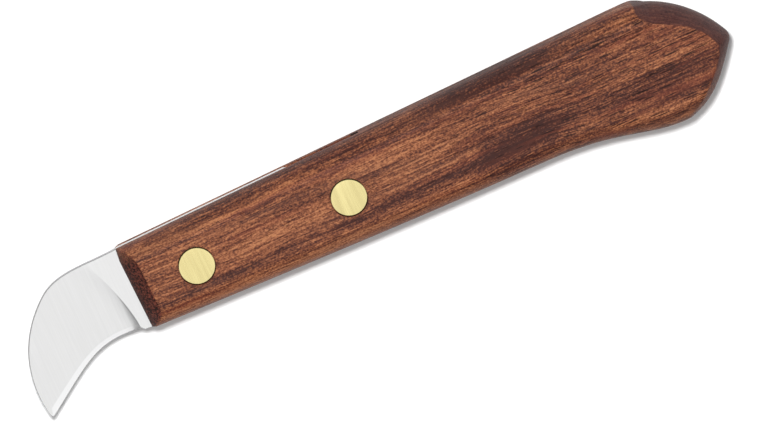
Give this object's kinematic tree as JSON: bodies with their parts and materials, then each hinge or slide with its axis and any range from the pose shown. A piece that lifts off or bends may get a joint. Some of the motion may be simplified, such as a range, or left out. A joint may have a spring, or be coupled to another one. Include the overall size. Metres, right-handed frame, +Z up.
{
  "type": "hooked hand knife",
  "caption": "Short hooked blade with an inside cutting edge, riveted into the slot of a one-piece wooden handle that swells at the butt.",
  "frame": {"origin": "middle of the knife's footprint, on the surface that it lies on", "axes": "+X along the knife from the blade to the butt, +Y towards the back of the blade, +Z up through the thickness of the handle"},
  "size_m": [0.1524, 0.0282, 0.015],
  "materials": {
    "steel": "satin, fine lines across the blade",
    "walnut": "oiled walnut, satin",
    "brass": "sanded flush, fine straight lines"
  },
  "bodies": {
    "root": {"blade": "steel", "handle": "walnut", "front_rivet_socket": "brass", "front_rivet_pin": "brass", "rear_rivet_socket": "brass", "rear_rivet_pin": "brass"}
  },
  "joints": []
}
